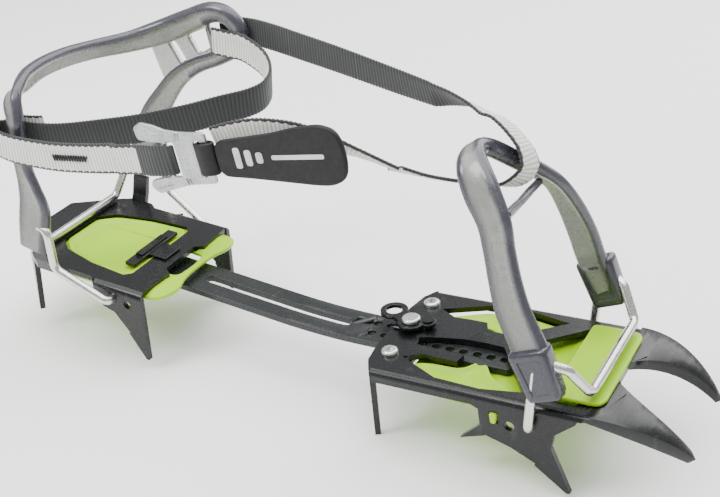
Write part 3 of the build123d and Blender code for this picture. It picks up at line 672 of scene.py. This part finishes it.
def heel_basket():
    hint = (0.25, 0, 1)
    loop = [(-54.8, -40.8, 13, 1, 0, 0.15, 16, 6.6, 6.6, 1, 1),
            (-53.2, -40.9, 24, 1, 0, 0.1, 16.5, 6.4, 5.4, 1, 1),
            (-51.8, -40.8, 34, 1, 0, 0, 16, 5.6, 3.6, 1, 1),
            (-53, -40.7, 43, 1, 0, 0, 12, 5.4, 3.6, 1, 1),
            (-54.8, -40.6, 52, 1, 0, 0, 9, 5.4, 4.8, 1, 1),
            (-56.3, -40.4, 64, 1, 0, 0, 8.5, 5.8, 5.4, 1, 1),
            (-56.5, -39.8, 75, 1, 0, 0.1, 8.8, 5.8, 5.2, 1, 1),
            (-59.3, -37, 82, 0.8, 0.2, 0.7, 9.5, 5.6, 4.4, 1, 1),
            (-62, -31, 84.5, 0.6, 0.1, 0.8, 10.5, 5.6, 3.2, 1, 1),
            (-64.5, -22, 85.2, *hint, 12, 5.6, 2.8, 0, 1),
            (-66, -9, 86.2, *hint, 11, 5.6, 2.8, 0, 1),
            (-65.5, 6, 85.8, *hint, 10.5, 5.6, 2.8, 0, 1),
            (-61.5, 22, 85, *hint, 10.2, 5.6, 2.8, 0, 1),
            (-51, 36, 86.2, *hint, 11, 5.8, 3.0, 0, 1),
            (-38, 43, 91, *hint, 12, 6.4, 3.4, 0, 1),
            (-24, 45.5, 98.2, 0.1, 0, 1, 11, 7.0, 4.4, 0, 1),
            (-12, 46.3, 104.0, 0, 0, 1, 9.8, 7.2, 6.4, 1, 1),
            (-3, 46.3, 103.8, -0.6, 0, 0.8, 8.8, 7.0, 6.4, 1, 1),
            (3.2, 46.3, 97.5, 1, 0, 0.1, 8.6, 6.6, 5.8, 1, 1),
            (0.5, 46.3, 89.5, 0.7, 0, -0.8, 8, 5.8, 5.2, 1, 1),
            (-9, 46.3, 83, 0.3, 0, -1, 8, 5.4, 4.2, 1, 1),
            (-22, 46.3, 76.5, 0.4, 0, -1, 8.5, 5.2, 3.4, 1, 1),
            (-33, 46.2, 68, 0.8, 0, -0.8, 10, 5.2, 2.8, 1, 0),
            (-42, 45.6, 56, 1, 0, -0.5, 12, 5.2, 2.6, 1, 0),
            (-48, 44.2, 45, 1, 0, -0.35, 15, 5.2, 2.6, 1, 0),
            (-51, 42.5, 34, 1, 0, -0.1, 16, 5.6, 3.4, 1, 1),
            (-53, 41.2, 25, 1, 0, 0, 16, 6.2, 5.4, 1, 1),
            (-54, 40.8, 15, 1, 0, 0.1, 15, 6.4, 6.4, 1, 1)]
    band = moulded_band("heel_basket_band", loop, SMOKE)
    finish_piece(band, "heel_bail", "smoke_tpu", "heel_basket")
    outline = [(-49, 86), (-41, 66), (-28, 74), (-11, 83), (-14, 99.5), (-28, 95)]
    slot = [(-36.9, 85.7), (-32.9, 86.9), (-26.1, 77.3), (-29.7, 75.1)]
    window = [(-25.4, 90.8), (-14.4, 96.6), (-10.6, 88.6), (-19.6, 82.7)]
    panel = flat_part("heel_basket_bracket", [outline, slot, window[::-1]], 3.0, 0.7,
                      lambda x, y, z: place(x, 46.3 + z, y), SMOKE_LIGHT, corner=2.2)
    finish_piece(panel, "heel_bail", "smoke_tpu")


# ---- buckle and pull tab -------------------------------------------------------------------
BUCKLE_AT = Vector((34.5, -48.6, 82.5))
BUCKLE_X = Vector((0.966, 0, 0.259))
BUCKLE_Y = Vector((-0.259, 0, 0.966))


def buckle_place(x, y, z):
    """Buckle's own plane: x along the strap, y up across it, z outwards."""
    return place(*(BUCKLE_AT + BUCKLE_X * x + BUCKLE_Y * y + Vector((0, -1, 0)) * z))


def buckle():
    outline = [(18, 10.5), (18, -10.5), (5, -10.8), (-4, -12.6), (-12, -14.4), (-15.4, -11.5),
               (-14.6, -8.6), (-9, -7.4), (-3.4, -7.0), (-3.4, 7.0), (-9, 7.4), (-15.4, 8.8),
               (-16, 14), (-12.4, 16), (-6.5, 14.6), (-1, 12.4), (6, 11.2)]
    end_slot = [(11.6, 7.4), (14.8, 7.4), (14.8, -7.4), (11.6, -7.4)]
    strap_slot = [(-1.9, 7.2), (2.0, 7.2), (2.0, -7.2), (-1.9, -7.2)]
    alloy = bare_metal("stamped_alloy", (0.30, 0.31, 0.32), (0.58, 0.58, 0.59), 0.36,
                       (1, 1, 1), 160, pitted=0.85)
    body = flat_part("buckle", [outline, end_slot, strap_slot], 1.5, 0.45,
                     lambda x, y, z: buckle_place(x, y, z + 0.75), alloy, corner=1.5)
    finish_piece(body, "heel_bail", "stamped_alloy", "buckle_plate")
    ridges = []
    for side in (-1, 1):
        ridges.append([Vector((4.2, side * 11.0, 1.55)), Vector((3.4, side * 7.8, 1.55))])
        ridges.append([Vector((5.6, side * 10.8, 1.55)), Vector((4.8, side * 7.8, 1.55))])
        ridges.append([Vector((-12.2, side * 12.4, 1.5)), Vector((-3.2, side * 10.4, 1.5))])
    vertices, faces, size = [], [], 8
    for start, end in ridges:
        base = len(vertices)
        along = (end - start).normalized()
        side = along.cross(Vector((0, 0, 1)))
        for t, scale in ((0, 0.3), (0.1, 1), (0.9, 1), (1, 0.3)):
            centre = start.lerp(end, t)
            for k in range(size):
                angle = 2 * math.pi * k / size
                shift = (side * math.cos(angle) + Vector((0, 0, 1)) * math.sin(angle)) * 0.34
                vertices.append(buckle_place(*(centre + shift * scale)))
        faces += [tuple(base + v for v in face) for face in ring_faces(4, size)]
    finish_piece(add_mesh("buckle_ridges", vertices, faces, alloy), "heel_bail",
                 "stamped_alloy")


def tab():
    rubber = matte_rubber("black_rubber", (0.006, 0.006, 0.0065), 0.6)
    size, vertices = 12, []
    half_width = 6.6
    loop = [(16.2 + 4.0 * math.cos(a) * (1.0 if math.cos(a) > 0 else 0.95),
             2.1 * math.sin(a)) for a in (2 * math.pi * k / 28 for k in range(28))]
    count = len(loop)
    for i, (x, z) in enumerate(loop):
        px, pz = loop[(i + 1) % count]
        qx, qz = loop[i - 1]
        length = math.hypot(px - qx, pz - qz)
        nx, nz = (pz - qz) / length, -(px - qx) / length
        for y, d in ((-half_width, 0), (-half_width + 0.5, 0.55), (half_width - 0.5, 0.55),
                     (half_width, 0), (half_width - 0.5, -0.55), (-half_width + 0.5, -0.55)):
            vertices.append(buckle_place(x + nx * d, y, 0.75 + z + nz * d))
    size = 6
    loop_piece = add_mesh("tab_eye", vertices, ring_faces(count, size, closed_run=True), rubber)
    loop_piece.data.set_sharp_from_angle(angle=math.radians(40))
    finish_piece(loop_piece, "heel_bail", "black_rubber", "tab_loop")
    outline = [(21.2, 7.0), (21.2, -7.4), (34, -8.4), (50, -10.2), (64, -11.8), (71, -12.0),
               (76.6, -9.6), (78.4, -4), (78.4, 4), (76.4, 9.4), (70, 11.8), (60, 11.2),
               (48, 9.2), (34, 8.0)]
    body = flat_part("tab_body", [outline], 2.6, 0.9,
                     lambda x, y, z: buckle_place(x, y, z + 0.75), rubber, corner=4.5)
    finish_piece(body, "pull_tab", "black_rubber", "pull_tab")
    print_look = matte_rubber("pale_print", (0.62, 0.62, 0.61), 0.55)
    for i, (x0, x1, half) in enumerate(((30, 33, 4.2), (35, 38, 3.2), (40, 43, 2.2),
                                        (47, 70, 0.9))):
        mark = [(x0, half), (x0, -half), (x1, -half), (x1, half)]
        piece = flat_part(f"tab_mark_{i + 1}", [mark], 0.24, 0.06,
                          lambda x, y, z: buckle_place(x, y + (x - 50) * -0.01, z + 2.1),
                          print_look, corner=1.2)
        finish_piece(piece, "pull_tab", "black_rubber")


# ---- snow-shedding plates -------------------------------------------------------------------
def dished(name, outline, heights, floor, to_world, material, corner=3.0):
    """Closed plate whose top follows rings shrinking to the middle: (scale, height) pairs."""
    points = round_corners(outline, corner, 6)
    middle = Vector((sum(p[0] for p in points) / len(points),
                     sum(p[1] for p in points) / len(points)))
    size, vertices = len(points), []
    rings = [(0.9, floor)] + [(1.0, floor + 0.5)] + list(heights)
    for scale, height in rings:
        for point in points:
            spot = middle + (Vector(point) - middle) * scale
            vertices.append(to_world(spot.x, spot.y, height))
    return add_mesh(name, vertices, ring_faces(len(rings), size), material)


def heel_green():
    rear, front = -63.2, -16.8
    opening = [(rear, 11.2), (rear + 8, 18.2), (-38, 22.7), (front - 3, 24.2), (front, 21.2)]
    opening = opening + [(x, -y) for x, y in reversed(opening)]
    rings = [(1.0, -1.3), (0.985, -1.0), (0.95, -1.05), (0.9, -1.5), (0.84, -2.3), (0.77, -3.0),
             (0.68, -3.4), (0.5, -3.6), (0.25, -3.7), (0.02, -3.7)]
    dish = dished("heel_green_dish", opening, rings, -4.6, place, GREEN)
    finish_piece(dish, "heel_section", "green_plastic")
    half = [(-72, 13), (-69, 21), (-60, 30), (-45, 32), (-12, 32), (2, 31.2), (6.6, 28.5),
            (8.4, 23.5), (8.2, 18), (5.6, 12.5), (4.6, 6)]
    outline = half + [(x, -y) for x, y in reversed(half)]
    hole = [(0.6, 10.4), (-6, 11), (-12, 11), (-12, -11), (-6, -11), (0.6, -10.4), (1.6, 0)]
    sheet = flat_part("heel_green_sheet", [outline, hole], 2.2, 0.8,
                      lambda x, y, z: place(x, y, z - 3.6 + lip_rise(x)), GREEN, corner=3.0)
    finish_piece(sheet, "heel_section", "green_plastic", "heel_antiball_plate")


def lip_rise(x):
    """How far the lip ahead of the heel frame curls up."""
    ahead = min(max((x + 1) / 8, 0.0), 1.0)
    return ahead * ahead * 1.2


RAMP_HALF = 26.4           # half width of the ramp up to the flap, mm
RAMP_STEPS = 20


def toe_green():
    half = [(123.5, 22), (128, 27), (136, 30), (150, 31.5), (190, 31.5), (199, 30), (200, 24)]
    outline = half + [(x, -y) for x, y in reversed(half)]
    sheet = flat_part("toe_green_sheet", [outline], 2.2, 0.8,
                      lambda x, y, z: place_front(x, y, z - 7.7), GREEN, corner=3.0)
    finish_piece(sheet, "front_section", "green_plastic", "front_antiball_plate")
    spine = 5.5
    for side, name in ((-1, "outer"), (1, "inner")):
        low = spine + 4.5 * side
        leaf = [(124, 19.4 * side), (131, 16.6 * side), (146, 16.0 * side),
                (152, (low + 7 * side) if side < 0 else 13.6), (160, 17.5 * side),
                (176, 26.4 * side), (160, 29.6 * side), (140, 28.6 * side)]
        rings = [(1.0, -3.6), (0.97, -3.1), (0.9, -3.0), (0.78, -3.5), (0.6, -4.2), (0.4, -4.5),
                 (0.2, -4.6), (0.02, -4.6)]
        boss = dished(f"toe_green_leaf_{name}", leaf, rings, -7.0, place_front, GREEN, 4.0)
        finish_piece(boss, "front_section", "green_plastic")
    flap_half = [(187.5, 27), (191.5, 27.3), (204.5, 27.3), (207.6, 26.6), (209.4, 23.5)]
    flap = flap_half + [(x, -y) for x, y in reversed(flap_half)]
    piece = flat_part("toe_green_flap", [flap], 1.8, 0.7,
                      lambda x, y, z: place_front(x, y, z + 1.2), GREEN, corner=3.0)
    finish_piece(piece, "front_section", "green_plastic")
    ramp_rows = [(176, -6.4), (181, -5.9), (184.5, -4.2), (187.5, -1.4), (190.5, 0.9),
                 (194, 1.7), (199, 1.75)]
    across = [-RAMP_HALF + 2 * RAMP_HALF * k / RAMP_STEPS for k in range(RAMP_STEPS + 1)]
    vertices = []
    for x, z in ramp_rows:
        vertices += [place_front(x, y, z - 0.5 * (1 - math.cos(math.pi * y / RAMP_HALF)) * 0.3)
                     for y in across]
        vertices += [place_front(x + 0.9, y, z - 1.8) for y in reversed(across)]
    faces = ring_faces(len(ramp_rows), 2 * len(across))
    ramp = add_mesh("toe_green_ramp", vertices, faces, GREEN)
    ramp.data.set_sharp_from_angle(angle=math.radians(50))
    finish_piece(ramp, "front_section", "green_plastic")
    for side in (-1, 1):
        peg = flat_part(f"toe_green_peg_{'outer' if side < 0 else 'inner'}",
                        [[(-1.6, 2.2), (1.6, 2.2), (1.1, -2.3), (-1.1, -2.3)]], 4.6, 0.6,
                        lambda x, y, z, s=side: place_front(167.6 + x, s * 34.0 + z, y - 8.9),
                        GREEN, corner=0.9)
        finish_piece(peg, "front_section", "green_plastic")


# ---- floor, light, materials -------------------------------------------------------------
FLOOR_SIZE = 12
MIDDLE_X = 0.1             # middle of the crampon's length, m
AIM_HEIGHT = 0.03
LIGHTS = (("overhead", (0.05, 0.05, 1.1), 1.3, 26.0),      # name, place, size, watts
          ("left", (-0.42, -0.5, 0.75), 0.35, 7.0),
          ("behind", (0.25, 0.8, 0.6), 0.8, 8.0))


def stage_and_light():
    low = min(vertex.co.z for node in ("heel_frame", "front_frame")
              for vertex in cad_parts[node].data.vertices)
    bpy.ops.mesh.primitive_plane_add(size=FLOOR_SIZE, location=(MIDDLE_X, 0, low))
    floor = bpy.context.object
    floor.name = "floor"
    look = Look("pale_floor", 0.7)
    look.link(look.ramp(look.noise(3, 2), [(0.3, (0.93, 0.93, 0.93)), (0.7, (0.95, 0.95, 0.95))]),
              "Base Color")
    floor.data.materials.append(look.mat)
    world = bpy.data.worlds.new("studio")
    bpy.context.scene.world = world
    world.use_nodes = True
    background = world.node_tree.nodes["Background"]
    background.inputs["Color"].default_value = (1.0, 1.0, 1.0, 1)
    background.inputs["Strength"].default_value = 0.7
    for name, where, size, power in LIGHTS:
        data = bpy.data.lights.new(name, "AREA")
        data.size, data.energy = size, power
        lamp = bpy.data.objects.new(name, data)
        lamp.location = where
        aim = Vector((MIDDLE_X, 0, AIM_HEIGHT)) - Vector(where)
        lamp.rotation_euler = aim.to_track_quat("-Z", "Y").to_euler()
        bpy.context.scene.collection.objects.link(lamp)


def paint_nodes():
    steel = black_paint()
    bar_steel = black_paint("bar_paint", (0.010, 0.012, 0.013), (0.02, 0.023, 0.024))
    wire = bare_metal("stainless_wire", (0.55, 0.54, 0.50), (0.78, 0.77, 0.73), 0.24, (6, 1, 6))
    zinc = bare_metal("zinc_steel", (0.60, 0.60, 0.60), (0.85, 0.85, 0.85), 0.3, (1, 1, 1), 500)
    spring = bare_metal("spring_steel", (0.05, 0.05, 0.055), (0.14, 0.14, 0.15), 0.35, (2, 2, 1))
    looks = {"heel_frame": (steel, 0.35), "front_frame": (steel, 0.35),
             "bar_keeper_clip": (steel, 0.3), "bar_guide_plate": (steel, 0.3),
             "guide_spacers": (steel, 0.0), "lock_lever": (steel, 0.35),
             "linking_bar": (bar_steel, 0.25), "guide_screws": (zinc, 0.0),
             "guide_nuts": (zinc, 0.0), "lever_pivot_rivet": (zinc, 0.0),
             "lock_pin": (steel, 0.0), "lever_spring": (spring, 0.0),
             "heel_wire_bail": (wire, 0.0), "toe_wire_bail": (wire, 0.0)}
    for node, (material, edge) in looks.items():
        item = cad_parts[node]
        item.data.materials.clear()
        item.data.materials.append(material)
        if edge:
            weld = item.modifiers.new("weld", "WELD")
            weld.merge_threshold = 1e-6
            bevel = item.modifiers.new("edges", "BEVEL")
            bevel.width, bevel.segments = edge * MM, 2
            bevel.limit_method, bevel.angle_limit = "ANGLE", math.radians(35)
            bevel.harden_normals = True


GREEN = green_plastic()
WEBBING = woven("webbing")
SMOKE = smoke_tpu("smoke_tpu", (0.27, 0.275, 0.25), (0.06, 0.06, 0.078))
SMOKE_LIGHT = smoke_tpu("smoke_tpu_thin", (0.19, 0.195, 0.175), (0.25, 0.255, 0.23), False)
SMOKE_DARK = smoke_tpu("smoke_tpu_thick", (0.028, 0.028, 0.042), (0.05, 0.05, 0.072), False)

add_camera()
stage_and_light()
paint_nodes()
heel_webbing()
long_webbing()
toe_webbing()
stitch()
toe_basket()
heel_basket()
buckle()
tab()
heel_green()
toe_green()
